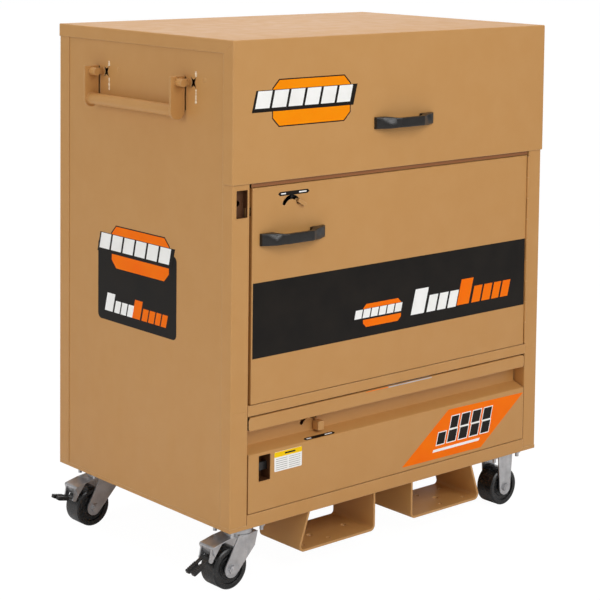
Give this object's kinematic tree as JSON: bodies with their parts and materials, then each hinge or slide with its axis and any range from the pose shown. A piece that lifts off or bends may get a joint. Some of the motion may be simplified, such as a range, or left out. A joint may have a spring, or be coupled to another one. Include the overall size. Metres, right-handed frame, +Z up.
{
  "type": "rolling tool box",
  "caption": "Rolling steel tool box with a lift-up lid, hinged cupboard door, full-width drawer, side lift handles, fork pockets and braked casters.",
  "frame": {"origin": "centre of the bounding footprint, at floor level", "axes": "+Z up, -Y the front with the door and drawer, +X to the right seen from the front"},
  "size_m": [1.2224, 0.7848, 1.337],
  "materials": {
    "tan_paint": "satin tan powder coat",
    "black_plastic": "moulded, semi-gloss",
    "zinc_steel": "zinc plated",
    "black_enamel": "black enamel",
    "polished_rod": "polished",
    "black_wheel": "moulded hard wheel"
  },
  "bodies": {
    "cabinet": {"left_side_panel": "tan_paint", "right_side_panel": "tan_paint", "back_panel": "tan_paint", "floor_pan": "tan_paint", "left_post": "tan_paint", "right_post": "tan_paint", "work_shelf": "tan_paint", "drawer_bay_liner": "tan_paint", "door_lock_pocket": "tan_paint", "front_left_fork_bracket": "tan_paint", "front_right_fork_bracket": "tan_paint", "rear_left_fork_bracket": "tan_paint", "rear_right_fork_bracket": "tan_paint", "lid_hinge_body_leaf": "tan_paint", "lid_hinge_pin": "zinc_steel", "gas_stay_body_studs": "tan_paint", "door_hinge_post_leaf": "tan_paint", "door_hinge_pin": "zinc_steel", "slide_outer_members": "zinc_steel", "left_handle_staples": "tan_paint", "right_handle_staples": "tan_paint", "caster_bolts": "zinc_steel", "front_swivel_plate": "zinc_steel", "rear_swivel_plate": "zinc_steel", "front_rigid_fork": "zinc_steel", "rear_rigid_fork": "zinc_steel", "rigid_axles": "zinc_steel"},
    "lid": {"lid_shell": "tan_paint", "lid_handle": "black_plastic", "lid_hinge_lid_leaf": "tan_paint", "gas_stay_lid_brackets": "tan_paint"},
    "gas_stay_cylinders": {"left_gas_stay_cylinder": "black_enamel", "right_gas_stay_cylinder": "black_enamel"},
    "gas_stay_rods": {"left_gas_stay_rod": "polished_rod", "right_gas_stay_rod": "polished_rod"},
    "door": {"door_panel": "tan_paint", "door_handle": "black_plastic", "door_hinge_door_leaf": "tan_paint"},
    "door_lever": {"door_latch_lever": "tan_paint"},
    "door_bolt": {"door_latch_bolt": "black_enamel"},
    "drawer": {"drawer_front": "tan_paint", "drawer_tray": "tan_paint", "drawer_lock_pocket": "tan_paint", "slide_inner_members": "zinc_steel"},
    "slide_middles": {"slide_middle_members": "zinc_steel"},
    "drawer_lever": {"drawer_latch_lever": "tan_paint"},
    "drawer_bolt": {"drawer_latch_bolt": "black_enamel"},
    "left_handle": {"left_lift_handle": "tan_paint"},
    "right_handle": {"right_lift_handle": "tan_paint"},
    "front_swivel": {"front_swivel_fork": "zinc_steel", "front_swivel_axle": "zinc_steel"},
    "rear_swivel": {"rear_swivel_fork": "zinc_steel", "rear_swivel_axle": "zinc_steel"},
    "front_left_wheel": {"front_swivel_wheel": "black_wheel"},
    "rear_left_wheel": {"rear_swivel_wheel": "black_wheel"},
    "front_right_wheel": {"front_rigid_wheel": "black_wheel"},
    "rear_right_wheel": {"rear_rigid_wheel": "black_wheel"},
    "front_pedal": {"front_brake_pedal": "black_enamel"},
    "rear_pedal": {"rear_brake_pedal": "black_enamel"}
  },
  "joints": [
    {"name": "lid_hinge", "type": "hinge", "parent": "cabinet", "child": "lid", "pos_m": [0.01769, 0.3874, 1.3305], "axis": [-1, 0, 0], "range_deg": [0, 75]},
    {"name": "gas_stay_swing", "type": "hinge", "parent": "cabinet", "child": "gas_stay_cylinders", "pos_m": [0.01769, 0.3574, 1.2605], "axis": [-1, 0, 0], "range_deg": [0, 66.78]},
    {"name": "gas_stay_extend", "type": "slide", "parent": "gas_stay_cylinders", "child": "gas_stay_rods", "axis": [0, -0.9715, 0.2372], "range_m": [0, 0.085]},
    {"name": "door_hinge", "type": "hinge", "parent": "cabinet", "child": "door", "pos_m": [0.51344, -0.3519, 0.716], "axis": [0, 0, 1], "range_deg": [0, 110]},
    {"name": "door_lever_turn", "type": "hinge", "parent": "door", "child": "door_lever", "pos_m": [-0.34531, -0.3509, 0.922], "axis": [0, -1, 0], "range_deg": [0, 108]},
    {"name": "door_bolt_slide", "type": "slide", "parent": "door", "child": "door_bolt", "axis": [-1, 0, 0], "range_m": [0, 0.03]},
    {"name": "drawer_slide", "type": "slide", "parent": "cabinet", "child": "drawer", "axis": [0, -1, 0], "range_m": [0, 0.5]},
    {"name": "slide_middle_travel", "type": "slide", "parent": "cabinet", "child": "slide_middles", "axis": [0, -1, 0], "range_m": [0, 0.25]},
    {"name": "drawer_lever_turn", "type": "hinge", "parent": "drawer", "child": "drawer_lever", "pos_m": [-0.24831, -0.3129, 0.353], "axis": [0, -1, 0], "range_deg": [0, 108]},
    {"name": "drawer_bolt_slide", "type": "slide", "parent": "drawer", "child": "drawer_bolt", "axis": [-1, 0, 0], "range_m": [0, 0.03]},
    {"name": "left_handle_swing", "type": "hinge", "parent": "cabinet", "child": "left_handle", "pos_m": [-0.55431, 0.0156, 1.225], "axis": [0, 1, 0], "range_deg": [0, 90]},
    {"name": "right_handle_swing", "type": "hinge", "parent": "cabinet", "child": "right_handle", "pos_m": [0.58969, 0.0156, 1.225], "axis": [0, -1, 0], "range_deg": [0, 90]},
    {"name": "front_swivel_turn", "type": "hinge", "parent": "cabinet", "child": "front_swivel", "pos_m": [-0.46131, -0.2994, 0.1], "axis": [0, 0, 1], "continuous": true},
    {"name": "front_left_wheel_spin", "type": "hinge", "parent": "front_swivel", "child": "front_left_wheel", "pos_m": [-0.50631, -0.2994, 0.0508], "axis": [0, 1, 0], "continuous": true},
    {"name": "front_right_wheel_spin", "type": "hinge", "parent": "cabinet", "child": "front_right_wheel", "pos_m": [0.46669, -0.2994, 0.0508], "axis": [0, 1, 0], "continuous": true},
    {"name": "front_pedal_press", "type": "hinge", "parent": "front_swivel", "child": "front_pedal", "pos_m": [-0.56131, -0.2994, 0.081], "axis": [0, 1, 0], "range_deg": [0, 40]},
    {"name": "rear_swivel_turn", "type": "hinge", "parent": "cabinet", "child": "rear_swivel", "pos_m": [-0.46131, 0.2856, 0.1], "axis": [0, 0, 1], "continuous": true},
    {"name": "rear_left_wheel_spin", "type": "hinge", "parent": "rear_swivel", "child": "rear_left_wheel", "pos_m": [-0.50631, 0.2856, 0.0508], "axis": [0, 1, 0], "continuous": true},
    {"name": "rear_right_wheel_spin", "type": "hinge", "parent": "cabinet", "child": "rear_right_wheel", "pos_m": [0.46669, 0.2856, 0.0508], "axis": [0, 1, 0], "continuous": true},
    {"name": "rear_pedal_press", "type": "hinge", "parent": "rear_swivel", "child": "rear_pedal", "pos_m": [-0.56131, 0.2856, 0.081], "axis": [0, -1, 0], "range_deg": [0, 40]}
  ],
  "couplings": [
    {"joint": "gas_stay_swing", "follows": "lid_hinge", "ratio": 0.89024},
    {"joint": "gas_stay_extend", "follows": "lid_hinge", "m_per_rad": 0.064927},
    {"joint": "door_bolt_slide", "follows": "door_lever_turn", "m_per_rad": 0.015915},
    {"joint": "drawer_bolt_slide", "follows": "drawer_lever_turn", "m_per_rad": 0.015915},
    {"joint": "slide_middle_travel", "follows": "drawer_slide", "ratio": 0.5}
  ]
}
